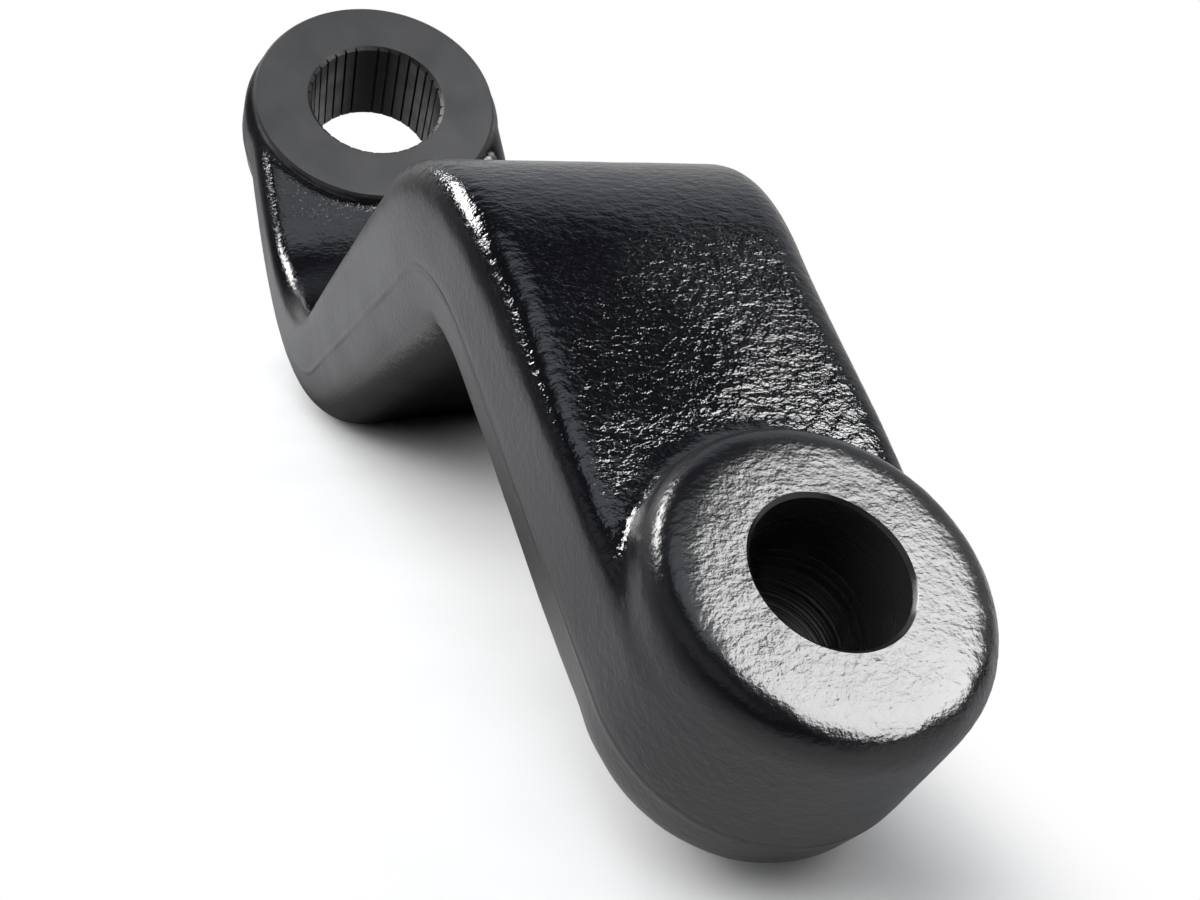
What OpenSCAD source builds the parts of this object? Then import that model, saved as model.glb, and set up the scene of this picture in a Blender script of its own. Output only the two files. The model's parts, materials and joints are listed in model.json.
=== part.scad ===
// Drop pitman arm: one steel forging, bent twice, that joins a steering
// gear's sector shaft to a drag link. All sizes are in millimetres.
// The arm is shaped in its own upright frame: the sector bore runs along Z,
// its machined face is at Z = 0 and the drag link end lies towards +X and +Z.
// It is then laid on the ground as it comes to rest, on the outside of the
// lower bend and on the foot of the drag link boss.

/* [Sector end] */
// Diameter of the plain lands in the serrated sector bore
sector_bore_d = 31; // [24:0.5:40]
// Number of serration pitches around the bore
serrations = 36; // [24:4:48]
// Depth of a serration groove below the lands
serration_depth = 0.6; // [0.3:0.05:1.2]
// Width of a serration groove where it meets the lands
serration_w = 0.62; // [0.4:0.02:0.7]
// Bevel at both mouths of the sector bore
sector_bevel = 0.8; // [0.3:0.1:1.5]
// Diameter of the machined face around the sector bore
sector_face_d = 57.2; // [48:0.2:64]
// Thickness of the sector boss, face to face
sector_boss_t = 26; // [22:0.5:32]
// Height of the machined face above the forged arm
sector_rise = 2.2; // [1:0.1:3.5]
// Radius of the fillet at the foot of the machined face
sector_fillet_r = 1.5; // [0.8:0.1:2]
// Half width of the forged arm at the sector bore, on the parting line
sector_half_w = 30.7; // [29:0.1:36]

/* [Arm] */
// Distance between the two holes along the sector face
reach = 160; // [140:1:190]
// Height of the drag link face above the sector face
drop = 143; // [110:1:160]
// Thickness of the forged arm
arm_t = 22.5; // [17:0.5:24]
// Distance from the sector bore to the corner of the lower bend
bend_x = 69.4; // [60:0.1:80]
// Slope of the middle web against the sector face, in degrees
web_slope = 71.8; // [60:0.2:80]
// Slope of the drag link end against the sector face, in degrees
link_slope = 13.2; // [0:0.2:18]
// Middle radius of the lower bend
low_bend_r = 52; // [40:0.5:58]
// Middle radius of the upper bend
high_bend_r = 22.5; // [18:0.5:28]
// Extra thickness on the inside of the lower bend
low_fill = 0.5; // [0:0.25:3]
// Radius of the forged edges
edge_r = 2.75; // [2:0.25:5]
// Draft of the forged sides, in degrees
draft = 5.5; // [3:0.5:9]
// Half width of the arm at the lower bend, on the parting line
low_half_w = 27.9; // [25:0.1:31]
// Half width of the arm at the upper bend, on the parting line
high_half_w = 20.7; // [18:0.1:25]
// Sideways offset of the arm from the sector bore
arm_shift = 0.3; // [0:0.1:1]
// Sideways lean of the drag link end, which comes in along the middle web, in degrees
link_lean = 3.5; // [0:0.25:6]

/* [Drag link end] */
// Sideways offset of the drag link face from the sector bore
link_shift = 0.9; // [0:0.1:3]
// Diameter of the drag link hole at its face
link_hole_d = 13.6; // [13:0.1:18]
// Taper of the drag link hole on its diameter, one in this many
link_taper = 8; // [6:0.5:12]
// Length of the straight drilled end of the drag link hole
link_land = 6; // [4:0.5:9]
// Bevel at both mouths of the drag link hole
link_bevel = 0.4; // [0.2:0.1:1]
// Radius of the drag link boss on the parting line
link_boss_r = 15.9; // [15:0.1:19]
// How far the arm stands out beside the drag link boss
link_shoulder = 0.5; // [0.1:0.1:0.8]
// Height of the drag link face above the middle of the arm
link_rise = 16.3; // [15:0.1:20]
// Radius of the rounded rim of the drag link face
link_rim_r = 3.2; // [2:0.1:4]
// Draft of the drag link boss, in degrees
link_draft = 3; // [1:0.5:5]
// Radius of the lower edge of the drag link boss
link_edge_r = 7.5; // [5:0.25:8]
// Radius of the fillet where the boss meets the arm
link_fillet_r = 3; // [1.5:0.1:4]
// Radius of the low boss under the drag link end
foot_r = 12; // [11:0.1:13]
// Depth of the low boss under the drag link end
foot_t = 0.4; // [0.4:0.1:2.5]

/* [Hidden] */
$fn = 60;
half_t = arm_t / 2;
// middle height of the sector plate
mid_z = -sector_rise - half_t;
link_half_w = link_boss_r + link_shoulder;
edge_steps = 5;
bend_steps = 10;
// angles of an edge arc, from the flat down to the drafted side
edge_angles = [for (i = [0 : edge_steps]) 90 - i * (90 - draft) / edge_steps];
// place of an edge arc of radius r: how far it comes in from the parting line, and its level
function edge_in(r) = r * cos(draft) + (half_t - r + r * sin(draft)) * tan(draft);
function edge_at(r, a) = [edge_in(r) - r * cos(a), half_t - r + r * sin(a)];
flat_in = edge_in(edge_r);
// one side of the cross-section from top to bottom, as [inset, level], with a lower edge of radius r
function side(r) = concat(
    [for (a = edge_angles) edge_at(edge_r, a)],
    [[0, 0]],
    [for (i = [edge_steps : -1 : 0]) let (p = edge_at(r, edge_angles[i])) [p.x, -p.y]]);
side_n = 2 * edge_steps + 3;

// side view: corners of the middle line as [x, z]
web_dir = [cos(web_slope), sin(web_slope)];
link_dir = [cos(link_slope), sin(link_slope)];
link_up = [-sin(link_slope), cos(link_slope)];
link_mid = [reach, drop] - link_rise * cos(link_lean) * link_up;
link_y = link_shift - link_rise * sin(link_lean);
low_corner = [bend_x, mid_z];
corner_gap = link_mid - low_corner;
web_len = (corner_gap.x * link_dir.y - corner_gap.y * link_dir.x)
    / (web_dir.x * link_dir.y - web_dir.y * link_dir.x);
high_corner = low_corner + web_len * web_dir;
low_cut = low_bend_r * tan(web_slope / 2);
high_cut = high_bend_r * tan((web_slope - link_slope) / 2);
low_centre = [bend_x - low_cut, mid_z + low_bend_r];
high_start = high_corner - high_cut * web_dir;
high_centre = high_start + high_bend_r * [sin(web_slope), -cos(web_slope)];
high_end = high_corner + high_cut * link_dir;

// half width of the arm on the parting line: a smooth curve, seen along Z,
// through the widths at the sector bore, the two bends and the drag link hole
width_at = [0, bend_x, high_corner.x, link_mid.x];
widths = [sector_half_w, low_half_w, high_half_w, link_half_w];
function chord(i) = (widths[i + 1] - widths[i]) / (width_at[i + 1] - width_at[i]);
function lean(i) = let (a = width_at[i] - width_at[i - 1], b = width_at[i + 1] - width_at[i])
    (chord(i - 1) * b + chord(i) * a) / (a + b);
leans = [0, lean(1), lean(2), chord(2)];
function blend(i, x) = let (
        d = width_at[i + 1] - width_at[i],
        t = (x - width_at[i]) / d,
        e = t * t * (3 - 2 * t))
    widths[i] * (1 - e) + widths[i + 1] * e
    + d * t * (1 - t) * (leans[i] * (1 - t) - leans[i + 1] * t);
function half_w(x) = x <= 0 ? widths[0]
    : x >= link_mid.x ? widths[3]
    : blend(x < width_at[1] ? 0 : x < width_at[2] ? 1 : 2, x);

// stations along the middle line:
// [x, z, slope, extra thickness above, lean, lower edge radius, share of the half width]
function ease(t) = let (c = min(1, max(0, t))) c * c * (3 - 2 * c);
function run_of(a, b, slope, n) =
    [for (i = [0 : n - 1]) let (p = a + (b - a) * i / n) [p.x, p.y, slope]];
fill_from = sector_half_w + 2;
function fill_at(x) = low_fill * ease((x - fill_from) / (bend_x - fill_from));
plate_run = [for (s = run_of([0, mid_z], [low_centre.x, mid_z], 0, 5))
    [s.x, s.y, s.z, fill_at(s.x), 0, edge_r, 1]];
low_bend = [for (i = [0 : bend_steps - 1])
    let (s = web_slope * i / bend_steps, x = low_centre.x + low_bend_r * sin(s))
    [x, low_centre.y - low_bend_r * cos(s), s, fill_at(x), 0, edge_r, 1]];
web_run = [for (i = [0 : 9])
    let (p = low_corner + low_cut * web_dir, q = p + (high_start - p) * i / 10)
    [q.x, q.y, web_slope, low_fill * (1 - ease(i / 10)), link_lean * ease(i / 10), edge_r, 1]];
high_bend = [for (i = [0 : bend_steps - 1])
    let (s = web_slope + (link_slope - web_slope) * i / bend_steps)
    [high_centre.x - high_bend_r * sin(s), high_centre.y + high_bend_r * cos(s), s, 0, link_lean, edge_r, 1]];
link_run = [for (i = [0 : 6])
    let (p = high_end + (link_mid - high_end) * i / 6)
    [p.x, p.y, link_slope, 0, link_lean, edge_r + (link_edge_r - edge_r) * ease(i / 6), 1]];
// the arm rounds off past the hole and ends inside the drag link boss
link_tip = [for (a = [10 : 10 : 60])
    let (p = link_mid + 0.9 * link_boss_r * sin(a) * link_dir)
    [p.x, p.y, link_slope, 0, link_lean, link_edge_r, cos(a)]];
stations = concat(plate_run, low_bend, web_run, high_bend, link_run, link_tip);

// profile of the sector boss, [radius, z]
sector_r = sector_half_w + 0.8;
sector_edge = [for (a = edge_angles) if (a < 72) let (p = edge_at(edge_r, a)) [sector_r - p.x, p.y]];
sector_profile = concat(
    [[0, 0], [sector_face_d / 2 - 0.5, 0], [sector_face_d / 2, -0.5]],
    [for (p = sector_edge) [p.x, mid_z + p.y]],
    [[sector_r, mid_z]],
    [for (i = [len(sector_edge) - 1 : -1 : 0]) [sector_edge[i].x, mid_z - sector_edge[i].y]],
    [[sector_face_d / 2 - 1, 0.6 - sector_boss_t], [sector_face_d / 2 - 1.6, -sector_boss_t]],
    [[0, -sector_boss_t]]
);

// profile of the drag link boss, [radius, height above the middle line]
rim_v = link_rise - link_rim_r;
rim_x = link_boss_r - (rim_v + link_rim_r * sin(link_draft)) * tan(link_draft)
    - link_rim_r * cos(link_draft);
link_edge = [for (a = edge_angles) if (a < 60)
    let (p = edge_at(link_edge_r, a)) [link_boss_r - p.x, -p.y]];
link_profile = concat(
    [[0, link_rise]],
    [for (i = [0 : 6]) let (a = 90 - i * (90 - link_draft) / 6)
        [rim_x + link_rim_r * cos(a), rim_v + link_rim_r * sin(a)]],
    [[link_boss_r, 0]],
    [for (i = [len(link_edge) - 1 : -1 : 0]) link_edge[i]],
    [[foot_r, 0.6 - half_t - foot_t], [foot_r - 0.6, -half_t - foot_t], [0, -half_t - foot_t]]
);

// rest on the ground: turned about Y until the drag link boss comes level
// with the outside of the lower bend
link_axis = [cos(link_lean) * link_up.x, sin(link_lean), cos(link_lean) * link_up.y];
link_centre = [link_mid.x, link_y, link_mid.y];
// lowest reach, along a direction, of the circles of a turned profile
function low_of(profile, centre, axis, dir) =
    min([for (p = profile) (centre + p.y * axis) * dir - p.x * sqrt(1 - pow(axis * dir, 2))]);
function ahead(a) = [cos(a), 0, sin(a)];
function above(a) = [-sin(a), 0, cos(a)];
function link_low(a) = low_of(link_profile, link_centre, link_axis, above(a));
function bend_low(a) = min([for (s = low_bend)
    [s.x + half_t * sin(s.z), 0, s.y - half_t * cos(s.z)] * above(a)]);
function settle(a, b, n) = let (m = (a + b) / 2)
    n == 0 ? m
    : link_low(m) > bend_low(m) ? settle(m, b, n - 1)
    : settle(a, m, n - 1);
rest_tilt = settle(10, 85, 40);
ground = bend_low(rest_tilt);
rear_x = low_of(sector_profile, [0, 0, 0], [0, 0, 1], ahead(rest_tilt));
front_x = -low_of(link_profile, link_centre, link_axis, -ahead(rest_tilt));

// the bent web between the two bosses, swept along the middle line;
// its flats lean towards the drag link end while its sides keep their draft
module web() {
    ring_n = 2 * side_n;
    points = [for (s = stations)
        for (k = [0 : ring_n - 1])
            let (p = side(s[5])[k < side_n ? k : ring_n - 1 - k],
                 v = p.y > 0 ? p.y + s[3] : p.y,
                 w = half_w(s.x - v * sin(s.z)) * s[6] - p.x,
                 y = k < side_n ? w : -w,
                 up = v - y * tan(s[4]))
            [s.x - up * sin(s.z), arm_shift + y, s.y + up * cos(s.z)]];
    last = len(stations) - 1;
    function at(i, k) = i * ring_n + k % ring_n;
    sides = [for (i = [0 : last - 1]) for (k = [0 : ring_n - 1]) each [
        [at(i + 1, k + 1), at(i + 1, k), at(i, k)],
        [at(i, k + 1), at(i + 1, k + 1), at(i, k)]]];
    caps = [[for (k = [ring_n - 1 : -1 : 0]) k], [for (k = [0 : ring_n - 1]) at(last, k)]];
    polyhedron(points, concat(sides, caps));
}

// crescent fillet at the foot of a boss: a flared skirt, narrower than the boss and
// moved towards the arm, that fades into the boss wall on both sides
module skirt(boss_r, base_r, r, level) {
    translate([boss_r + r - base_r - 0.4, 0, level - 0.05])
        rotate_extrude()
            polygon(concat(
                [[0, r], [0, -1.5], [base_r, -1.5]],
                [for (i = [0 : 6]) let (a = 270 - i * 15) [base_r + r * cos(a), r + r * sin(a)]]));
}

// round boss with the machined face
module sector_boss() {
    rotate_extrude()
        polygon(sector_profile);
    skirt(sector_face_d / 2 + 0.2, sector_half_w - flat_in + 1.2, sector_fillet_r, -sector_rise);
}

// round boss of the drag link end, in the frame of its own hole
module link_boss() {
    rotate_extrude()
        polygon(link_profile);
    rotate([0, 0, 180])
        skirt(link_boss_r - half_t * tan(link_draft), link_half_w - flat_in + 0.1, link_fillet_r, half_t);
}

// serrated bore: plain lands, narrow grooves, one groove left out at each quarter turn
module sector_bore() {
    r = sector_bore_d / 2;
    translate([0, 0, -sector_boss_t - 1])
        cylinder(r = r, h = sector_boss_t + 2);
    for (m = [0, 1])
        translate([0, 0, m ? -sector_boss_t - 0.01 : 0.01])
            rotate([m ? 0 : 180, 0, 0])
                cylinder(r1 = r + sector_bevel + 0.01, r2 = r, h = sector_bevel + 0.01);
    translate([0, 0, -sector_boss_t - 1])
        linear_extrude(height = sector_boss_t + 2)
            for (i = [0 : serrations - 1])
                if (i % (serrations / 4) != 0)
                    rotate(i * 360 / serrations)
                        polygon([
                            [r - 0.4, -serration_w / 2],
                            [r, -serration_w / 2],
                            [r + serration_depth, -serration_w / 6],
                            [r + serration_depth, serration_w / 6],
                            [r, serration_w / 2],
                            [r - 0.4, serration_w / 2]]);
}

// tapered hole for the ball stud, with a straight drilled end
module link_hole() {
    low = -half_t - foot_t;
    taper_len = link_rise - low - link_land;
    r1 = link_hole_d / 2;
    r0 = r1 - taper_len / link_taper / 2;
    translate([0, 0, low - 1])
        cylinder(r = r0, h = link_land + 1.5);
    translate([0, 0, low + link_land])
        cylinder(r1 = r0, r2 = r1, h = taper_len);
    translate([0, 0, link_rise - link_bevel])
        cylinder(r1 = r1 - 0.04, r2 = r1 + link_bevel + 0.01, h = link_bevel + 0.01);
    translate([0, 0, low - 0.01])
        cylinder(r1 = r0 + link_bevel + 0.01, r2 = r0, h = link_bevel + 0.01);
}

module link_frame() {
    translate(link_centre)
        rotate([-link_lean, -link_slope, 0])
            children();
}

// the whole forging, laid on the ground
module pitman_arm() {
    color([0.06, 0.06, 0.07])
        translate([-(rear_x + front_x) / 2, 0, -ground])
            rotate([0, rest_tilt, 0])
                difference() {
                    union() {
                        web();
                        sector_boss();
                        link_frame()
                            link_boss();
                    }
                    sector_bore();
                    link_frame()
                        link_hole();
                }
}

pitman_arm();
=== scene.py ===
# Looks of a forged drop pitman arm, painted gloss black, lying on a white table.
# The forging is modelled in millimetres in its own upright frame: the sector bore runs along Z,
# its machined face is at Z = 0 and the drag link end lies towards +X and +Z.
import json
import math
from collections import namedtuple

import bpy
import numpy as np
from mathutils import Matrix, Vector, noise


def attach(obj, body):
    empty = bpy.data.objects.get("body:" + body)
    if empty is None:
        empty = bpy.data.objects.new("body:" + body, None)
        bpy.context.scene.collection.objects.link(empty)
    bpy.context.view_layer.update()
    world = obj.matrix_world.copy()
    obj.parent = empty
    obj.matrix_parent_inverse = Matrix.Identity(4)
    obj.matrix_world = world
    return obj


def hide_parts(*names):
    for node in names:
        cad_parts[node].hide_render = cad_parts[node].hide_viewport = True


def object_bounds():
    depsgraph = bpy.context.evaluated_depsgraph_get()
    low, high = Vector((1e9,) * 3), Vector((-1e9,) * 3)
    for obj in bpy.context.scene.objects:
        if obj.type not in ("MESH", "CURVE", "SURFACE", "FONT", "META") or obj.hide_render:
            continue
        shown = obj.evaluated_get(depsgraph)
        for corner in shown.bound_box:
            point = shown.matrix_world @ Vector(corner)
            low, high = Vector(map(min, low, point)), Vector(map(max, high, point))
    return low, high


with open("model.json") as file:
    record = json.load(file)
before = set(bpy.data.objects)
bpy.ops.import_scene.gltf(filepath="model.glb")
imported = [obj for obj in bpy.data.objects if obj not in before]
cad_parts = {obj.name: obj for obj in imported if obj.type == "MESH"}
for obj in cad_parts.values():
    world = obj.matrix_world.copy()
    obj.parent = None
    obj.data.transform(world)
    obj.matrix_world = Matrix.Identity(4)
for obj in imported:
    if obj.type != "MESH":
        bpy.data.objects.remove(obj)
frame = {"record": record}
cad_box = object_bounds()

MM = 0.001

# Sector end, in millimetres
SECTOR_BORE_R = 15.5
SERRATIONS = 36
SERRATION_DEPTH = 0.6
SERRATION_W = 0.62
SECTOR_BEVEL = 0.8
SECTOR_FACE_R = 28.6
SECTOR_BOSS_T = 26.0
SECTOR_RISE = 2.2
SECTOR_FILLET_R = 1.5
SECTOR_HALF_W = 30.7
# How far the boss stands out past the sides of the plate
SECTOR_SWELL = 0.8
# How far the ring's wall stands outside the face's radius, at its top and at its foot
RING_WALL = (0.05, 0.15)
# The machined flats end this far inside the face's radius, at a bevel
FLAT_INSET = 0.5
FLAT_BEVEL = 1.1
# How much smaller than the face the back of the blank is
BACK_INSET = 1.0

# Arm between the bosses, in millimetres and degrees
REACH = 160.0
DROP = 143.0
ARM_T = 22.5
ARM_SHIFT = 0.3
BEND_X = 69.4
WEB_SLOPE = 71.8
LINK_SLOPE = 13.2
LINK_LEAN = 3.5
LOW_BEND_R = 52.0
HIGH_BEND_R = 22.5
LOW_HALF_W = 27.9
HIGH_HALF_W = 20.7
DRAFT = 5.5
# Extra thickness inside the lower bend, and the gap from the sector end to where it starts
LOW_FILL = 0.5
FILL_GAP = 2.0
# Edge radii of the arm: upper edges, lower edges of the web, then upper edges, lower edges and lower
# edges next to the boss on the drag link end
EDGE_R = 4.5
LOW_EDGE_R = 7.5
LINK_TOP_R = 2.5
LINK_LOW_R = 3.5
LINK_END_R = 5.0

# Drag link end, in millimetres and degrees
LINK_SHIFT = 0.9
LINK_HOLE_R = 6.8
LINK_TAPER = 8.0
LINK_LAND = 6.0
LINK_BEVEL = 0.4
LINK_BOSS_R = 15.9
LINK_SHOULDER = 0.5
LINK_RISE = 16.3
LINK_RIM_R = 3.2
LINK_DRAFT = 3.0
LINK_FILLET_R = 3.0
FOOT_R = 12.0
FOOT_T = 0.4
FOOT_BEVEL = 0.6

# Fillets at the feet of the bosses: lap on the boss, dip into the arm, depth inside it, and how far
# their own edges stand from the bosses' and the flats' edges
SKIRT_LAP = 0.4
SKIRT_DIP = 0.05
SKIRT_DEPTH = 1.5
SECTOR_SKIRT_GAP = 0.2
SECTOR_SKIRT_OUT = 1.2
LINK_SKIRT_IN = 0.1

# Steps along the middle line and around the round forms
PLATE_STEPS = 20
LOW_BEND_STEPS = 48
WEB_STEPS = 50
HIGH_BEND_STEPS = 40
LINK_STEPS = 20
EDGE_STEPS = 14
RIM_STEPS = 16
SKIRT_STEPS = 12
LATHE_STEPS = 160
# Round tip of the swept arm inside the drag link boss, in degrees of turn, and its share of the boss
TIP_STEP = 6
TIP_TURN = 60
TIP_EASE = 30
TIP_SHARE = 0.9
# The bosses' edge arcs leave out what lies nearer to the flat than these angles
SECTOR_ARC_TOP = 72
LINK_ARC_TOP = 60

# Blank: stock where a face is cut flat, cell of the mesh that joins the pieces, and smoothing
STOCK = 1.5
CELL = 0.8
SOFTEN_SHARE = 0.5
SOFTEN_ROUNDS = 5
SHARP_ANGLE = 35
# Waves of the forged skin, how much lower they are on the sides, and the skin's inset to make room
BROAD_WAVE = 11.0
BROAD_HEIGHT = 0.09
FINE_WAVE = 3.6
FINE_HEIGHT = 0.045
FINE_START = Vector((7, 3, 5))
SIDE_CALM = 0.8
SKIN_INSET = 0.06
# How far the middle line runs on past its ends, to take in both bosses
RUN_ON = (60.0, 40.0)

# Cutting tools, and how far they run past the surfaces that they cut
FACE_TOOL_R = 36.0
FACE_TOOL_H = 9.0
BORE_RUN_OUT = 5.0
MOUTH_RUN_OUT = 2.0
MOUTH_RUN_IN = 1.0
STUD_RUN_OUT = 3.0
# Radius that the stud hole's taper loses over the bevel at its mouth
MOUTH_TAPER = 0.03
# Points on a plain place of the bore, in degrees, and between two places, in shares of the pitch
PLAIN_POINTS = (-1.2, 0, 1.2)
LAND_POINTS = (0.35, 0.5, 0.65)

# Margins that tell the machined faces and bores from the forged skin
FACE_MARGIN = 0.3
FACE_DEPTH = 0.6
BACK_DEPTH = 0.05
BORE_MARGIN = 0.1
HOLE_MARGIN = 0.05
FLAT_FACING = 0.9

# Usual ranges of a noise between its dark and its light parts
NOISE_WIDE = (0.3, 0.7)
NOISE_MID = (0.35, 0.65)
NOISE_TIGHT = (0.4, 0.6)

# Forged paint: scales are in waves for each metre, depths in metres, levels in millimetres
PAINT_DARK = (0.0035, 0.0035, 0.005)
PAINT_LIGHT = (0.007, 0.007, 0.009)
PAINT_ROUGH = (0.06, 0.1)
PATCH_SCALE = 55
FLANK_FACING = (0.44, 0.8)
FLANK_ROUGH = 0.28
BOSS_FACE_LEVEL = (14.4, 15.4)
BOSS_FACE_ROUGH = 0.14
BOSS_FACE_CALM = 0.5
SEAM_HALF_W = 0.8
SEAM_DEPTH = 0.00024
SEAM_SCALE = 45
SEAM_STRENGTH = (0.35, 0.9)
WRINKLE_SCALE = 1050
WRINKLE_STRETCH = (1.0, 0.65, 1.0)
WRINKLE_DEPTH = 0.00025
WRINKLE_STRENGTH = (0.8, 0.45)
WRINKLE_PATCHES = (0.65, 1.0)
GRAIN_SCALE = 2600
GRAIN_DEPTH = 0.00004
GRAIN_STRENGTH = 0.6

# Paint on the machined faces
FACED_DARK = (0.017, 0.017, 0.018)
FACED_LIGHT = (0.028, 0.028, 0.029)
FACED_ROUGH = (0.36, 0.46)
FACED_SPECULAR = 0.4
FACED_SCALE = 90
FACED_GRAIN_DEPTH = 0.00003
FACED_GRAIN_STRENGTH = 0.5

# Wall of the serrated bore
BORED_DARK = (0.004, 0.004, 0.004)
BORED_LIGHT = (0.009, 0.009, 0.009)
BORED_ROUGH = (0.35, 0.5)
BORED_SCALE = 240
BORED_GRAIN_SCALE = 1500
BORED_GRAIN_DEPTH = 0.00005
BORED_GRAIN_STRENGTH = 0.5

# Wall of the stud hole
REAMED_DARK = (0.012, 0.012, 0.012)
REAMED_LIGHT = (0.022, 0.022, 0.022)
REAMED_ROUGH = (0.18, 0.3)
REAMED_SCALE = 300
RING_SCALE = 1200
RING_DEPTH = 0.0001
RING_STRENGTH = 0.6

# Camera: place in metres, aim in degrees, the photograph's frame is 1200 by 900
CAMERA_PLACE = (0.19188, -0.04324, 0.06633)
CAMERA_AZIMUTH = 161.322
CAMERA_ELEVATION = -12.942
CAMERA_ROLL = 1.332
CAMERA_SENSOR = 36
CAMERA_LENS = 34.366
CAMERA_SHIFT = (0.00823, -0.08691)
CAMERA_CLIP = (0.005, 50)

# Table, in metres
TABLE_HALF_W = 6.0
PAPER_SCALE = 30
PAPER_GREY = (0.9, 0.94)
# Its shadow fades out between two gaps from the arm's plan outline, which narrows to this half width
# at the drag link boss and is shifted to the left
SHADOW_REACH = (0.0, 0.022)
BOSS_SHADOW_W = 0.012
SHADOW_SHIFT = 0.006
# Its grey to reflections and bounced light, where it is pale and where painted shade makes it dark
MIRRORED_GREY_AND_PAINTED_SHADE = (0.67, 0.05)
# Painted shade darkens it ahead of the drag link boss, where the camera stands, away from the boss's foot
AHEAD_X = (0.06, 0.12)
AHEAD_Y = (0.06, 0.0)
BOSS_FOOT = (0.12, 0.0, 0.0)
FOOT_GAP = (0.035, 0.12)
# Painted shade darkens it under the arm too, up to these distances from the middle plane and along the arm
UNDER_ARM_Y = (0.025, 0.045)
UNDER_ARM_X = (0.04, 0.09)
UNDER_ARM_PAINTED_SHADE = 0.8

# Room around the arm, which lights it and shows in its paint: the glow of two walls and the ceiling,
# their directions, and the ranges over which the glow comes up or dies away
BACK_WALL = 0.55
BACK_WALL_AIM = (-1.0, 0.7, 0.0)
BACK_WALL_EDGE = (0.35, 0.75)
BACK_WALL_TOP = (0.75, 0.93)
LEFT_WALL = 0.35
LEFT_WALL_AIM = (0.5, -1.0, 0.0)
LEFT_WALL_EDGE = (0.55, 0.9)
LEFT_WALL_FOOT = (0.15, 0.4)
CEILING = 1.4
CEILING_AIM = (0.26, 0.03, 0.965)
CEILING_EDGE = (0.91, 0.98)
ROOM_DARK = 0.015
WHITE = (1, 1, 1)
COOL_WHITE = (0.92, 0.97, 1.06)
COOL_HEIGHT = (0.2, 0.7)

HALF_T = ARM_T / 2
MID_Z = -SECTOR_RISE - HALF_T
LINK_HALF_W = LINK_BOSS_R + LINK_SHOULDER
LINK_LOW = -HALF_T - FOOT_T


def sin(a):
    return math.sin(math.radians(a))


def cos(a):
    return math.cos(math.radians(a))


def tan(a):
    return math.tan(math.radians(a))


def ease(t):
    c = min(1.0, max(0.0, t))
    return c * c * (3 - 2 * c)


def blend(a, b, t):
    return a + (b - a) * ease(t)


# Side view: corners of the middle line as (x, z)
web_dir = np.array([cos(WEB_SLOPE), sin(WEB_SLOPE)])
link_dir = np.array([cos(LINK_SLOPE), sin(LINK_SLOPE)])
link_up = np.array([-sin(LINK_SLOPE), cos(LINK_SLOPE)])
link_mid = np.array([REACH, DROP]) - LINK_RISE * cos(LINK_LEAN) * link_up
link_y = LINK_SHIFT - LINK_RISE * sin(LINK_LEAN)
low_corner = np.array([BEND_X, MID_Z])
corner_gap = link_mid - low_corner
web_len = (corner_gap[0] * link_dir[1] - corner_gap[1] * link_dir[0]) / (
    web_dir[0] * link_dir[1] - web_dir[1] * link_dir[0])
high_corner = low_corner + web_len * web_dir
low_cut = LOW_BEND_R * tan(WEB_SLOPE / 2)
high_cut = HIGH_BEND_R * tan((WEB_SLOPE - LINK_SLOPE) / 2)
low_centre = np.array([BEND_X - low_cut, MID_Z + LOW_BEND_R])
low_end = low_corner + low_cut * web_dir
high_start = high_corner - high_cut * web_dir
high_centre = high_start + HIGH_BEND_R * np.array([sin(WEB_SLOPE), -cos(WEB_SLOPE)])
high_end = high_corner + high_cut * link_dir
link_place = (Matrix.Translation((link_mid[0], link_y, link_mid[1]))
              @ Matrix.Rotation(math.radians(-LINK_SLOPE), 4, "Y")
              @ Matrix.Rotation(math.radians(-LINK_LEAN), 4, "X"))

# Half width on the parting line: a smooth curve through four widths
width_at = [0.0, BEND_X, high_corner[0], link_mid[0]]
widths = [SECTOR_HALF_W, LOW_HALF_W, HIGH_HALF_W, LINK_HALF_W]
chords = [(widths[i + 1] - widths[i]) / (width_at[i + 1] - width_at[i]) for i in range(3)]


def lean_at(i):
    a = width_at[i] - width_at[i - 1]
    b = width_at[i + 1] - width_at[i]
    return (chords[i - 1] * b + chords[i] * a) / (a + b)


leans = [0.0, lean_at(1), lean_at(2), chords[2]]


def half_w(x):
    if x <= 0:
        return widths[0]
    if x >= link_mid[0]:
        return widths[3]
    i = 0 if x < width_at[1] else 1 if x < width_at[2] else 2
    d = width_at[i + 1] - width_at[i]
    t = (x - width_at[i]) / d
    e = t * t * (3 - 2 * t)
    return (widths[i] * (1 - e) + widths[i + 1] * e
            + d * t * (1 - t) * (leans[i] * (1 - t) - leans[i + 1] * t))


def fill_at(x):
    start = SECTOR_HALF_W + FILL_GAP
    return LOW_FILL * ease((x - start) / (BEND_X - start))


# A place on the middle line, with the extra thickness above, the lean of the flats, the upper and
# lower edge radius and the share of the half width there
Station = namedtuple("Station", "x z slope extra lean top_r low_r share",
                     defaults=(0.0, 0.0, EDGE_R, EDGE_R, 1.0))


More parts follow.
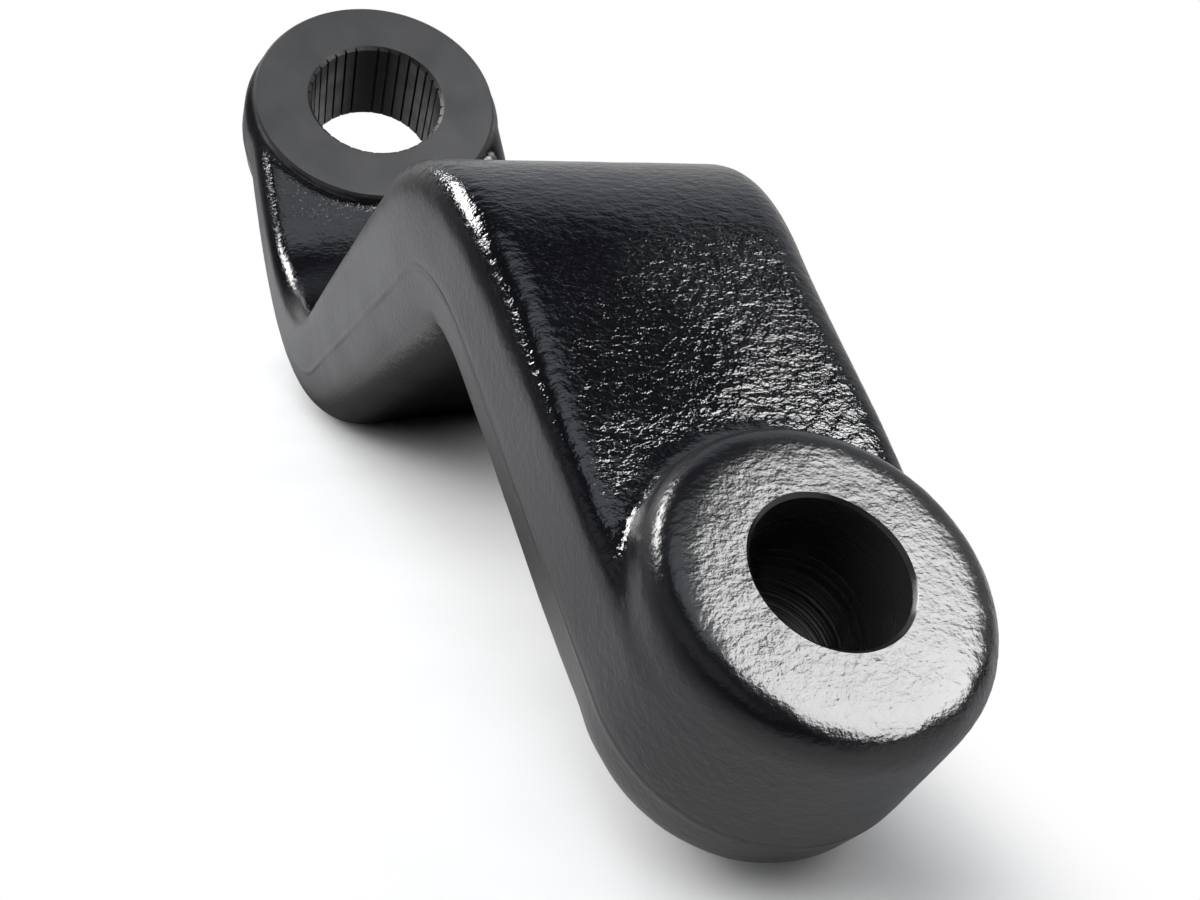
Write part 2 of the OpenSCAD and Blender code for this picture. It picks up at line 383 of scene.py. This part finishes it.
def stations():
    """The sections that the arm is swept through, from the sector bore to the tip. The lower edge gets
    rounder over the first half of the low bend and tighter again over the high bend. On the link run it
    tightens over the first half and gets rounder over the last quarter."""
    rows = []
    for x in np.linspace(0, low_centre[0], PLATE_STEPS, endpoint=False):
        rows.append(Station(x, MID_Z, 0.0, extra=fill_at(x)))
    for s in np.linspace(0, WEB_SLOPE, LOW_BEND_STEPS, endpoint=False):
        x = low_centre[0] + LOW_BEND_R * sin(s)
        rows.append(Station(x, low_centre[1] - LOW_BEND_R * cos(s), s, extra=fill_at(x),
                            low_r=blend(EDGE_R, LOW_EDGE_R, 2 * s / WEB_SLOPE)))
    for t in np.linspace(0, 1, WEB_STEPS, endpoint=False):
        x, z = low_end + (high_start - low_end) * t
        rows.append(Station(x, z, WEB_SLOPE, extra=LOW_FILL * (1 - ease(t)), lean=LINK_LEAN * ease(t),
                            low_r=LOW_EDGE_R))
    for s in np.linspace(WEB_SLOPE, LINK_SLOPE, HIGH_BEND_STEPS, endpoint=False):
        to_go = (s - LINK_SLOPE) / (WEB_SLOPE - LINK_SLOPE)
        rows.append(Station(high_centre[0] - HIGH_BEND_R * sin(s), high_centre[1] + HIGH_BEND_R * cos(s), s,
                            lean=LINK_LEAN, low_r=blend(EDGE_R, LOW_EDGE_R, to_go)))
    for t in np.linspace(0, 1, LINK_STEPS):
        x, z = high_end + (link_mid - high_end) * t
        low_r = blend(EDGE_R, LINK_LOW_R, 2 * t) + (LINK_END_R - LINK_LOW_R) * ease(4 * t - 3)
        rows.append(Station(x, z, LINK_SLOPE, lean=LINK_LEAN, top_r=blend(EDGE_R, LINK_TOP_R, 1.5 * t),
                            low_r=low_r))
    for a in range(TIP_STEP, TIP_TURN + 1, TIP_STEP):
        x, z = link_mid + TIP_SHARE * LINK_BOSS_R * sin(a) * link_dir
        rows.append(Station(x, z, LINK_SLOPE, lean=LINK_LEAN, top_r=LINK_TOP_R,
                            low_r=blend(LINK_END_R, LOW_EDGE_R, a / TIP_EASE), share=cos(a)))
    return rows


# Cross-section: the edge arcs run from the flat down to the drafted side
edge_angles = [90 - i * (90 - DRAFT) / EDGE_STEPS for i in range(EDGE_STEPS + 1)]


def edge_in(r):
    """How far an edge arc of radius r comes in from the parting line."""
    return r * cos(DRAFT) + (HALF_T - r + r * sin(DRAFT)) * tan(DRAFT)


def edge_arc(r):
    """An edge arc as (inset, level) points."""
    return [(edge_in(r) - r * cos(a), HALF_T - r + r * sin(a)) for a in edge_angles]


def section_side(top_r, low_r):
    """One side of the cross-section from top to bottom, with its two edge radii."""
    return edge_arc(top_r) + [(0.0, 0.0)] + [(p[0], -p[1]) for p in reversed(edge_arc(low_r))]


def add_mesh(name, points, faces, place=Matrix.Identity(4)):
    mesh = bpy.data.meshes.new(name)
    mesh.from_pydata([tuple(place @ Vector(p)) for p in points], [], faces)
    mesh.validate()
    obj = bpy.data.objects.new(name, mesh)
    bpy.context.scene.collection.objects.link(obj)
    return obj


def lathe(name, profile, place=Matrix.Identity(4)):
    """Closed solid turned from (radius, height) points that run from axis to axis, downwards."""
    steps = LATHE_STEPS
    rim = profile[1:-1]
    points = [(0, 0, profile[0][1])]
    for r, z in rim:
        for k in range(steps):
            a = 2 * math.pi * k / steps
            points.append((r * math.cos(a), r * math.sin(a), z))
    points.append((0, 0, profile[-1][1]))
    last = len(points) - 1
    faces = []
    for k in range(steps):
        n = (k + 1) % steps
        faces.append((0, 1 + k, 1 + n))
        for i in range(len(rim) - 1):
            a = 1 + i * steps
            b = a + steps
            faces.append((a + k, b + k, b + n, a + n))
        end = 1 + (len(rim) - 1) * steps
        faces.append((last, end + n, end + k))
    return add_mesh(name, points, faces, place)


def web():
    """The bent arm between the two bosses, swept along its middle line."""
    points = []
    rows = stations()
    half = 2 * len(edge_angles) + 1
    ring = half * 2
    for s in rows:
        side = section_side(s.top_r, s.low_r)
        for k in range(ring):
            inset, level = side[k] if k < half else side[ring - 1 - k]
            v = level + s.extra if level > 0 else level
            w = half_w(s.x - v * sin(s.slope)) * s.share - inset
            y = w if k < half else -w
            up = v - y * tan(s.lean)
            points.append((s.x - up * sin(s.slope), ARM_SHIFT + y, s.z + up * cos(s.slope)))
    faces = []
    for i in range(len(rows) - 1):
        for k in range(ring):
            n = (k + 1) % ring
            a = i * ring
            b = a + ring
            faces.append((a + k, b + k, b + n, a + n))
    faces.append(tuple(range(ring)))
    faces.append(tuple(reversed(range((len(rows) - 1) * ring, len(rows) * ring))))
    return add_mesh("web", points, faces)


def skirt(name, boss_r, base_r, r, level, place, towards):
    """Crescent fillet at the foot of a boss, on the side that meets the arm."""
    angles = [270 - i * 90 / SKIRT_STEPS for i in range(SKIRT_STEPS + 1)]
    arc = [(base_r + r * cos(a), r + r * sin(a)) for a in angles]
    profile = [(0, r)] + list(reversed(arc)) + [(base_r, -SKIRT_DEPTH), (0, -SKIRT_DEPTH)]
    shift = Matrix.Translation((towards * (boss_r + r - base_r - SKIRT_LAP), 0, level - SKIRT_DIP))
    return lathe(name, profile, place @ shift)


def sector_boss():
    r = SECTOR_HALF_W + SECTOR_SWELL
    rim = [(r - p[0], p[1]) for p, a in zip(edge_arc(EDGE_R), edge_angles) if a < SECTOR_ARC_TOP]
    top_r, foot_r = (SECTOR_FACE_R + gap for gap in RING_WALL)
    profile = [(0, STOCK), (top_r, STOCK), (foot_r, -SECTOR_RISE)]
    profile += [(p[0], MID_Z + p[1]) for p in rim] + [(r, MID_Z)]
    profile += [(p[0], MID_Z - p[1]) for p in reversed(rim)]
    back = -SECTOR_BOSS_T - STOCK
    profile += [(SECTOR_FACE_R - BACK_INSET, back), (0, back)]
    return [lathe("sector_boss", profile),
            skirt("sector_skirt", SECTOR_FACE_R + SECTOR_SKIRT_GAP,
                  SECTOR_HALF_W - edge_in(EDGE_R) + SECTOR_SKIRT_OUT,
                  SECTOR_FILLET_R, -SECTOR_RISE, Matrix.Identity(4), 1)]


def link_boss():
    rim_v = LINK_RISE - LINK_RIM_R
    rim_x = (LINK_BOSS_R - (rim_v + LINK_RIM_R * sin(LINK_DRAFT)) * tan(LINK_DRAFT)
             - LINK_RIM_R * cos(LINK_DRAFT))
    profile = [(0, LINK_RISE)]
    for i in range(RIM_STEPS + 1):
        a = 90 - i * (90 - LINK_DRAFT) / RIM_STEPS
        profile.append((rim_x + LINK_RIM_R * cos(a), rim_v + LINK_RIM_R * sin(a)))
    profile.append((LINK_BOSS_R, 0))
    low_arc = [(LINK_BOSS_R - p[0], -p[1])
               for p, a in zip(edge_arc(LOW_EDGE_R), edge_angles) if a < LINK_ARC_TOP]
    profile += reversed(low_arc)
    profile += [(FOOT_R, FOOT_BEVEL + LINK_LOW), (FOOT_R - FOOT_BEVEL, LINK_LOW), (0, LINK_LOW)]
    return [lathe("link_boss", profile, link_place),
            skirt("link_skirt", LINK_BOSS_R - HALF_T * tan(LINK_DRAFT),
                  LINK_HALF_W - edge_in(LINK_TOP_R) - LINK_SKIRT_IN, LINK_FILLET_R, HALF_T, link_place, -1)]


def keep_result(obj):
    """Turns the object's modifiers into its mesh."""
    graph = bpy.context.evaluated_depsgraph_get()
    mesh = bpy.data.meshes.new_from_object(obj.evaluated_get(graph))
    obj.modifiers.clear()
    obj.data = mesh


def drop(obj):
    bpy.data.objects.remove(obj, do_unlink=True)


def joined(name, pieces):
    """One mesh object that holds all the pieces' faces."""
    points, faces = [], []
    for p in pieces:
        base = len(points)
        points += [tuple(v.co) for v in p.data.vertices]
        faces += [tuple(base + i for i in f.vertices) for f in p.data.polygons]
        drop(p)
    return add_mesh(name, points, faces)


def forge():
    """The blank: the swept arm and its bosses run together, with the soft edges of a forging."""
    blank = joined("pitman_arm_forging", [web()] + sector_boss() + link_boss())
    melt = blank.modifiers.new("melt", "REMESH")
    melt.mode = "VOXEL"
    melt.voxel_size = CELL
    soften = blank.modifiers.new("soften", "SMOOTH")
    soften.factor = SOFTEN_SHARE
    soften.iterations = SOFTEN_ROUNDS
    keep_result(blank)
    return blank


def roughen(obj):
    """Low waves of the forged skin, a tenth of a millimetre deep, lower on the sides."""
    mesh = obj.data
    normals = [v.normal.copy() for v in mesh.vertices]
    for v, n in zip(mesh.vertices, normals):
        broad = noise.noise(v.co / BROAD_WAVE)
        fine = noise.noise(v.co / FINE_WAVE + FINE_START)
        height = (BROAD_HEIGHT * broad + FINE_HEIGHT * fine) * (1 - SIDE_CALM * abs(n.y))
        v.co += n * (height - SKIN_INSET)
    mesh.update()


def store_section(obj):
    """Stores each point's height above the middle line and how far it faces along the section, so that
    the paint can show the parting line and tell the flats from the sides."""
    line = np.array([(s.x, s.z) for s in stations()])
    line = np.vstack([line[0] - (RUN_ON[0], 0.0), line, line[-1] + RUN_ON[1] * link_dir])
    places = np.array([(v.co.x, v.co.z) for v in obj.data.vertices])
    normals = np.array([(v.normal.x, v.normal.z) for v in obj.data.vertices])
    best = np.full(len(places), np.inf)
    level = np.zeros(len(places))
    flat = np.zeros(len(places))
    for a, b in zip(line[:-1], line[1:]):
        along = (b - a) / np.linalg.norm(b - a)
        upright = np.array([-along[1], along[0]])
        d = places - a
        t = np.clip(d @ along, 0, np.linalg.norm(b - a))
        gap = np.linalg.norm(d - t[:, None] * along, axis=1)
        nearer = gap < best
        best[nearer] = gap[nearer]
        level[nearer] = (d @ upright)[nearer]
        flat[nearer] = abs(normals @ upright)[nearer]
    obj.data.attributes.new("level", "FLOAT", "POINT").data.foreach_set("value", level)
    obj.data.attributes.new("flat", "FLOAT", "POINT").data.foreach_set("value", flat)


def cut(obj, tool):
    mod = obj.modifiers.new("cut", "BOOLEAN")
    mod.operation = "DIFFERENCE"
    mod.solver = "MANIFOLD"
    mod.object = tool
    keep_result(obj)
    drop(tool)


def serrated_tool():
    """Prism of the serrated bore: plain lands, with one groove left out at each quarter turn. The root
    of a groove is a third as wide as its mouth."""
    outline = []
    pitch = 360 / SERRATIONS
    root_r = SECTOR_BORE_R + SERRATION_DEPTH
    mouth = math.degrees(SERRATION_W / 2 / SECTOR_BORE_R)
    root = math.degrees(SERRATION_W / 6 / root_r)
    for i in range(SERRATIONS):
        middle = i * pitch
        if i % (SERRATIONS // 4):
            outline += [(middle - mouth, SECTOR_BORE_R), (middle - root, root_r),
                        (middle + root, root_r), (middle + mouth, SECTOR_BORE_R)]
        else:
            outline += [(middle + a, SECTOR_BORE_R) for a in PLAIN_POINTS]
        outline += [(middle + pitch * t, SECTOR_BORE_R) for t in LAND_POINTS]
    n = len(outline)
    ends = (BORE_RUN_OUT, -SECTOR_BOSS_T - BORE_RUN_OUT)
    points = [(r * cos(a), r * sin(a), z) for z in ends for a, r in outline]
    faces = [(k, n + k, n + (k + 1) % n, (k + 1) % n) for k in range(n)]
    faces += [tuple(range(n)), tuple(reversed(range(n, 2 * n)))]
    return add_mesh("serrated_tool", points, faces)


def machine_sector(obj):
    """Flat faces of the sector boss, and its serrated bore with a bevel at each mouth."""
    r = SECTOR_FACE_R - FLAT_INSET
    low = -SECTOR_BOSS_T
    high_z = FACE_TOOL_H
    top = [(0, high_z), (FACE_TOOL_R, high_z), (FACE_TOOL_R, -FLAT_BEVEL), (r + FLAT_BEVEL, -FLAT_BEVEL),
           (r, 0), (0, 0)]
    cut(obj, lathe("face_tool", top))
    low_z = low - FACE_TOOL_H
    bottom = [(0, low), (r - FLAT_BEVEL, low), (r, low + FLAT_BEVEL), (FACE_TOOL_R, low + FLAT_BEVEL),
              (FACE_TOOL_R, low_z), (0, low_z)]
    cut(obj, lathe("back_tool", bottom))
    cut(obj, serrated_tool())
    wide_r = SECTOR_BORE_R + SECTOR_BEVEL + MOUTH_RUN_OUT
    tight_r = SECTOR_BORE_R - MOUTH_RUN_IN
    depth = SECTOR_BEVEL + MOUTH_RUN_IN
    over = MOUTH_RUN_OUT
    cut(obj, lathe("mouth_tool", [(0, over), (wide_r, over), (tight_r, -depth), (0, -depth)]))
    cut(obj, lathe("back_mouth_tool", [(0, low + depth), (tight_r, low + depth), (wide_r, low - over),
                                       (0, low - over)]))


def machine_link(obj):
    """Tapered stud hole of the drag link boss, with a straight land and a bevel at each mouth."""
    taper_len = LINK_RISE - LINK_LOW - LINK_LAND
    land_r = LINK_HOLE_R - taper_len / LINK_TAPER / 2
    over = LINK_BEVEL + STUD_RUN_OUT
    high_z = LINK_RISE + STUD_RUN_OUT
    low_z = LINK_LOW - STUD_RUN_OUT
    hole = [(0, high_z), (LINK_HOLE_R + over, high_z), (LINK_HOLE_R - MOUTH_TAPER, LINK_RISE - LINK_BEVEL),
            (land_r, LINK_LOW + LINK_LAND), (land_r, LINK_LOW + LINK_BEVEL),
            (land_r + over, low_z), (0, low_z)]
    cut(obj, lathe("stud_tool", hole, link_place))


def natural_to_world():
    """Place of the upright frame in the row frame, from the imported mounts."""
    mounts = {m["name"]: m for m in frame["record"]["mounts"]}
    up = Vector(mounts["nut_face"]["axis"]).normalized()
    across = Vector((0, 1, 0))
    along = across.cross(up)
    origin = Vector(mounts["sector_bore"]["pos_m"]) + up * SECTOR_BOSS_T / 2 * MM
    turn = Matrix((along, across, up)).transposed().to_4x4()
    return Matrix.Translation(origin) @ turn @ Matrix.Scale(MM, 4)


class Nodes:
    """Short ways to add shader nodes to one material or world."""

    def __init__(self, tree):
        self.tree = tree
        tree.nodes.clear()

    def add(self, kind, **values):
        node = self.tree.nodes.new(kind)
        for key, value in values.items():
            setattr(node, key, value)
        return node

    def link(self, a, b):
        self.tree.links.new(a, b)

    def feed(self, socket, value):
        if isinstance(value, bpy.types.NodeSocket):
            self.link(value, socket)
        else:
            socket.default_value = value

    def math(self, op, a, b=0.0):
        node = self.add("ShaderNodeMath", operation=op)
        self.feed(node.inputs[0], a)
        self.feed(node.inputs[1], b)
        return node.outputs[0]

    def vector(self, op, a, b):
        node = self.add("ShaderNodeVectorMath", operation=op)
        self.link(a, node.inputs[0])
        node.inputs[1].default_value = b
        return node.outputs["Value" if op in ("DOT_PRODUCT", "DISTANCE") else "Vector"]

    def split(self, vector):
        node = self.add("ShaderNodeSeparateXYZ")
        self.link(vector, node.inputs[0])
        return list(node.outputs)

    def attribute(self, name):
        return self.add("ShaderNodeAttribute", attribute_name=name).outputs["Fac"]

    def span(self, value, low, high, to_low=0.0, to_high=1.0):
        node = self.add("ShaderNodeMapRange", interpolation_type="SMOOTHSTEP")
        for socket, v in zip(node.inputs, (value, low, high, to_low, to_high)):
            self.feed(socket, v)
        return node.outputs[0]

    def noise(self, place, scale, detail=3.0, rough=0.55):
        node = self.add("ShaderNodeTexNoise")
        self.link(place, node.inputs["Vector"])
        node.inputs["Scale"].default_value = scale
        node.inputs["Detail"].default_value = detail
        node.inputs["Roughness"].default_value = rough
        return node.outputs[0]

    def bump(self, height, depth, strength, under=None):
        node = self.add("ShaderNodeBump")
        node.inputs["Distance"].default_value = depth
        self.feed(node.inputs["Strength"], strength)
        self.link(height, node.inputs["Height"])
        if under is not None:
            self.link(under, node.inputs["Normal"])
        return node.outputs[0]

    def tint(self, factor, dark, light):
        node = self.add("ShaderNodeMix", data_type="RGBA")
        self.feed(node.inputs["Factor"], factor)
        node.inputs["A"].default_value = (*dark, 1)
        node.inputs["B"].default_value = (*light, 1)
        return node.outputs["Result"]

    def mix(self, factor, a, b):
        node = self.add("ShaderNodeMixShader")
        for socket, output in zip(node.inputs, (factor, a, b)):
            self.link(output, socket)
        return node.outputs[0]


def new_material(name):
    material = bpy.data.materials.new(name)
    material.use_nodes = True
    nodes = Nodes(material.node_tree)
    shader = nodes.add("ShaderNodeBsdfPrincipled")
    output = nodes.add("ShaderNodeOutputMaterial")
    nodes.link(shader.outputs[0], output.inputs[0])
    place = nodes.add("ShaderNodeTexCoord").outputs["Object"]
    return material, nodes, shader, place


def forged_paint():
    """Gloss black paint over the grain of the forging, duller on the sides, with a parting line."""
    material, n, shader, place = new_material("forged_black_paint")
    flank = n.span(n.attribute("flat"), *FLANK_FACING, 1.0, 0.0)
    patches = n.noise(place, PATCH_SCALE, 2)
    n.link(n.tint(patches, PAINT_DARK, PAINT_LIGHT), shader.inputs["Base Color"])
    level = n.attribute("level")
    boss_face = n.span(level, *BOSS_FACE_LEVEL)
    rough = n.math("ADD", n.span(patches, *NOISE_WIDE, *PAINT_ROUGH),
                   n.math("MULTIPLY", boss_face, BOSS_FACE_ROUGH))
    n.link(n.math("ADD", rough, n.math("MULTIPLY", flank, FLANK_ROUGH)), shader.inputs["Roughness"])
    seam = n.span(n.math("ABSOLUTE", level), 0.0, SEAM_HALF_W, 1.0, 0.0)
    broken = n.span(n.noise(place, SEAM_SCALE, 2), *NOISE_TIGHT, *SEAM_STRENGTH)
    line = n.bump(seam, SEAM_DEPTH, broken)
    strength = n.math("MULTIPLY", n.span(flank, 0, 1, *WRINKLE_STRENGTH),
                      n.span(patches, *NOISE_MID, *WRINKLE_PATCHES))
    strength = n.math("MULTIPLY", strength, n.span(boss_face, 0.0, 1.0, 1.0, BOSS_FACE_CALM))
    ripples = n.noise(n.vector("MULTIPLY", place, WRINKLE_STRETCH), WRINKLE_SCALE, 3, 0.6)
    wrinkle = n.bump(ripples, WRINKLE_DEPTH, strength, line)
    grain = n.bump(n.noise(place, GRAIN_SCALE, 2), GRAIN_DEPTH, GRAIN_STRENGTH, wrinkle)
    n.link(grain, shader.inputs["Normal"])
    return material


def faced_paint():
    """Thin satin paint over a machined face."""
    material, n, shader, place = new_material("faced_black_paint")
    cloud = n.noise(place, FACED_SCALE, 4)
    n.link(n.tint(cloud, FACED_DARK, FACED_LIGHT), shader.inputs["Base Color"])
    n.link(n.span(cloud, *NOISE_WIDE, *FACED_ROUGH), shader.inputs["Roughness"])
    shader.inputs["Specular IOR Level"].default_value = FACED_SPECULAR
    grain = n.bump(n.noise(place, GRAIN_SCALE, 2), FACED_GRAIN_DEPTH, FACED_GRAIN_STRENGTH)
    n.link(grain, shader.inputs["Normal"])
    return material


def bored_steel():
    """Dark painted wall of the serrated bore."""
    material, n, shader, place = new_material("bored_dark_steel")
    cloud = n.noise(place, BORED_SCALE, 4)
    n.link(n.tint(cloud, BORED_DARK, BORED_LIGHT), shader.inputs["Base Color"])
    n.link(n.span(cloud, *NOISE_WIDE, *BORED_ROUGH), shader.inputs["Roughness"])
    grain = n.bump(n.noise(place, BORED_GRAIN_SCALE, 2), BORED_GRAIN_DEPTH, BORED_GRAIN_STRENGTH)
    n.link(grain, shader.inputs["Normal"])
    return material


def reamed_steel(origin, axis):
    """Black wall of the stud hole, with the rings that the reamer left along its axis."""
    material, n, shader, place = new_material("reamed_dark_steel")
    depth = n.vector("DOT_PRODUCT", n.vector("SUBTRACT", place, origin), axis)
    scratches = n.add("ShaderNodeTexNoise", noise_dimensions="1D")
    n.link(depth, scratches.inputs["W"])
    scratches.inputs["Scale"].default_value = RING_SCALE
    rings = scratches.outputs[0]
    cloud = n.noise(place, REAMED_SCALE, 3)
    n.link(n.tint(cloud, REAMED_DARK, REAMED_LIGHT), shader.inputs["Base Color"])
    n.link(n.span(rings, *NOISE_WIDE, *REAMED_ROUGH), shader.inputs["Roughness"])
    n.link(n.bump(rings, RING_DEPTH, RING_STRENGTH), shader.inputs["Normal"])
    return material


def dress(obj):
    """Paint on the forging, with the machined faces and the bores told apart by where they are."""
    hole = natural_to_world() @ link_place
    stud_axis = hole.col[2].xyz.normalized()
    stud_face = hole @ Vector((0, 0, LINK_RISE))
    obj.data.materials.clear()
    for material in (forged_paint(), faced_paint(), bored_steel(), reamed_steel(stud_face, stud_axis)):
        obj.data.materials.append(material)
    forged, faced, bored, reamed = range(4)
    to_link = link_place.inverted()
    link_axis = link_place.col[2].xyz
    face_r = SECTOR_FACE_R + FACE_MARGIN
    bore_r = SECTOR_BORE_R + SECTOR_BEVEL + BORE_MARGIN
    hole_r = LINK_HOLE_R + LINK_BEVEL + HOLE_MARGIN
    for face in obj.data.polygons:
        c = face.center
        n = face.normal
        r = math.hypot(c.x, c.y)
        d = to_link @ c
        on_flat = c.z > -FACE_DEPTH or abs(c.z + SECTOR_BOSS_T) < BACK_DEPTH
        if math.hypot(d.x, d.y) < hole_r and abs(n.dot(link_axis)) < FLAT_FACING:
            face.material_index = reamed
        elif r < bore_r and abs(n.z) < FLAT_FACING:
            face.material_index = bored
        elif r < face_r and on_flat:
            face.material_index = faced
        else:
            face.material_index = forged
        face.use_smooth = True


def keep_in_box(obj):
    """Brings points that stand out of the solid's box back to its sides."""
    low, high = (Vector(c) for c in cad_box)
    for v in obj.data.vertices:
        v.co = Vector(min(max(v.co[i], low[i]), high[i]) for i in range(3))
    obj.data.update()


def arm():
    obj = forge()
    roughen(obj)
    machine_sector(obj)
    machine_link(obj)
    store_section(obj)
    dress(obj)
    obj.data.transform(natural_to_world())
    keep_in_box(obj)
    obj.data.set_sharp_from_angle(angle=math.radians(SHARP_ANGLE))
    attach(obj, "root")
    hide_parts("pitman_arm")


def camera():
    data = bpy.data.cameras.new("camera")
    data.sensor_width = CAMERA_SENSOR
    data.sensor_fit = "HORIZONTAL"
    data.lens = CAMERA_LENS
    data.shift_x, data.shift_y = CAMERA_SHIFT
    data.clip_start, data.clip_end = CAMERA_CLIP
    obj = bpy.data.objects.new("camera", data)
    bpy.context.scene.collection.objects.link(obj)
    forward = Vector((cos(CAMERA_ELEVATION) * cos(CAMERA_AZIMUTH),
                      cos(CAMERA_ELEVATION) * sin(CAMERA_AZIMUTH), sin(CAMERA_ELEVATION)))
    level = forward.cross(Vector((0, 0, 1))).normalized()
    upright = level.cross(forward)
    up = upright * cos(CAMERA_ROLL) + level * sin(CAMERA_ROLL)
    right = forward.cross(up)
    turn = Matrix((right, up, -forward)).transposed().to_4x4()
    obj.matrix_world = Matrix.Translation(CAMERA_PLACE) @ turn
    bpy.context.scene.camera = obj


def mirrored_grey_and_painted_shade(n, place):
    """Grey of the table to reflections and bounced light, with painted shade ahead of the boss and under the
    arm.
    """
    x, y = n.split(place)[:2]
    # Painted shade on the table ahead of the boss, away from its foot, seen only in reflections and bounced
    # light
    ahead = n.math("MULTIPLY", n.span(x, *AHEAD_X), n.span(y, *AHEAD_Y))
    dark = n.math("MULTIPLY", ahead, n.span(n.vector("DISTANCE", place, BOSS_FOOT), *FOOT_GAP))
    # Painted shade on the table under the arm, seen only in reflections and bounced light
    under = n.math("MULTIPLY", n.span(n.math("ABSOLUTE", y), *UNDER_ARM_Y, UNDER_ARM_PAINTED_SHADE, 0.0),
                   n.span(x, *UNDER_ARM_X, 1.0, 0.0))
    return n.span(n.math("MAXIMUM", dark, under), 0.0, 1.0, *MIRRORED_GREY_AND_PAINTED_SHADE)


def outline_gap(n, place):
    """Distance on the table from the arm's plan outline, in metres."""
    low, high = cad_box
    x, y = n.split(place)[:2]
    half_width = n.span(x, low[0], high[0], high[1], BOSS_SHADOW_W)
    squares = []
    for spot, edge in ((x, high[0]), (n.math("ADD", y, SHADOW_SHIFT), half_width)):
        past = n.math("MAXIMUM", n.math("SUBTRACT", n.math("ABSOLUTE", spot), edge), 0.0)
        squares.append(n.math("POWER", past, 2.0))
    return n.math("SQRT", n.math("ADD", *squares))


def floor():
    """White table that keeps the arm's shadow and runs out to plain white away from it."""
    w = TABLE_HALF_W
    obj = add_mesh("floor", [(-w, -w, 0), (w, -w, 0), (w, w, 0), (-w, w, 0)], [(0, 1, 2, 3)])
    material = bpy.data.materials.new("white_table")
    material.use_nodes = True
    n = Nodes(material.node_tree)
    place = n.add("ShaderNodeTexCoord").outputs["Object"]
    seen = n.add("ShaderNodeLightPath").outputs["Is Camera Ray"]
    paper = n.span(n.noise(place, PAPER_SCALE, 3), *NOISE_WIDE, *PAPER_GREY)
    level = n.math("ADD", n.math("MULTIPLY", seen, paper),
                   n.math("MULTIPLY", n.math("SUBTRACT", 1.0, seen), mirrored_grey_and_painted_shade(n, place)))
    colour = n.add("ShaderNodeCombineColor")
    for socket in colour.inputs:
        n.link(level, socket)
    matt = n.add("ShaderNodeBsdfDiffuse")
    n.link(colour.outputs[0], matt.inputs["Color"])
    white = n.add("ShaderNodeEmission")
    white.inputs["Strength"].default_value = 1.0
    away = n.math("MULTIPLY", seen, n.span(outline_gap(n, place), *SHADOW_REACH))
    n.link(n.mix(away, matt.outputs[0], white.outputs[0]), n.add("ShaderNodeOutputMaterial").inputs[0])
    obj.data.materials.append(material)


def softbox(name, place, target, size, radiance, glossy=True, diffuse=True):
    """Soft light that the camera doesn't see. With glossy off it lights only the matt surfaces, and
    with diffuse off it shows only as a reflection."""
    data = bpy.data.lights.new(name, "AREA")
    data.shape = "RECTANGLE"
    data.size, data.size_y = size
    data.energy = radiance * math.pi * size[0] * size[1]
    obj = bpy.data.objects.new(name, data)
    obj.location = place
    obj.rotation_euler = (Vector(target) - Vector(place)).to_track_quat("-Z", "Y").to_euler()
    obj.visible_glossy = glossy
    obj.visible_diffuse = diffuse
    obj.visible_camera = False
    bpy.context.scene.collection.objects.link(obj)


def sky():
    """White to the camera; to everything else a dark room with a pale wall behind the arm, a dim wall
    on the left and a pale ceiling."""
    world = bpy.data.worlds.new("studio")
    bpy.context.scene.world = world
    world.use_nodes = True
    n = Nodes(world.node_tree)
    towards = n.add("ShaderNodeTexCoord").outputs["Generated"]
    z = n.split(towards)[2]
    behind = n.math("MULTIPLY",
                    n.span(n.vector("DOT_PRODUCT", towards, BACK_WALL_AIM), *BACK_WALL_EDGE, 0.0, BACK_WALL),
                    n.span(z, *BACK_WALL_TOP, 1.0, 0.0))
    left = n.math("MULTIPLY",
                  n.span(n.vector("DOT_PRODUCT", towards, LEFT_WALL_AIM), *LEFT_WALL_EDGE, 0.0, LEFT_WALL),
                  n.span(z, *LEFT_WALL_FOOT))
    overhead = n.span(n.vector("DOT_PRODUCT", towards, CEILING_AIM), *CEILING_EDGE, 0.0, CEILING)
    glow = n.math("ADD", n.math("ADD", behind, overhead), n.math("ADD", left, ROOM_DARK))
    room = n.add("ShaderNodeBackground")
    n.link(glow, room.inputs["Strength"])
    n.link(n.tint(n.span(z, *COOL_HEIGHT), WHITE, COOL_WHITE), room.inputs["Color"])
    white = n.add("ShaderNodeBackground")
    white.inputs["Color"].default_value = (*WHITE, 1)
    seen = n.add("ShaderNodeLightPath").outputs["Is Camera Ray"]
    n.link(n.mix(seen, room.outputs[0], white.outputs[0]), n.add("ShaderNodeOutputWorld").inputs[0])


def lights():
    """Two softboxes that show in the paint, and three that light the table and the matt paint."""
    softbox("key_light", place=(0.541, 0.451, 0.539), target=(0.12, 0.0, 0.03), size=(0.68, 0.66),
            radiance=18, diffuse=False)
    softbox("edge_light", place=(-0.332, -0.361, 0.644), target=(0.08, -0.017, 0.05), size=(0.43, 0.18),
            radiance=26, diffuse=False)
    softbox("top_light", place=(-0.1, -0.55, 1.0), target=(0, 0, 0), size=(1.2, 1.2),
            radiance=2.9, glossy=False)
    softbox("fill_light", place=(-0.1, -0.85, 0.55), target=(0.05, 0, 0), size=(0.9, 0.9),
            radiance=1.7, glossy=False)
    softbox("right_light", place=(0.25, 0.95, 0.6), target=(0.05, 0, 0), size=(0.9, 0.9),
            radiance=1.8, glossy=False)


camera()
arm()
floor()
sky()
lights()
bpy.context.scene.view_settings.view_transform = "Standard"
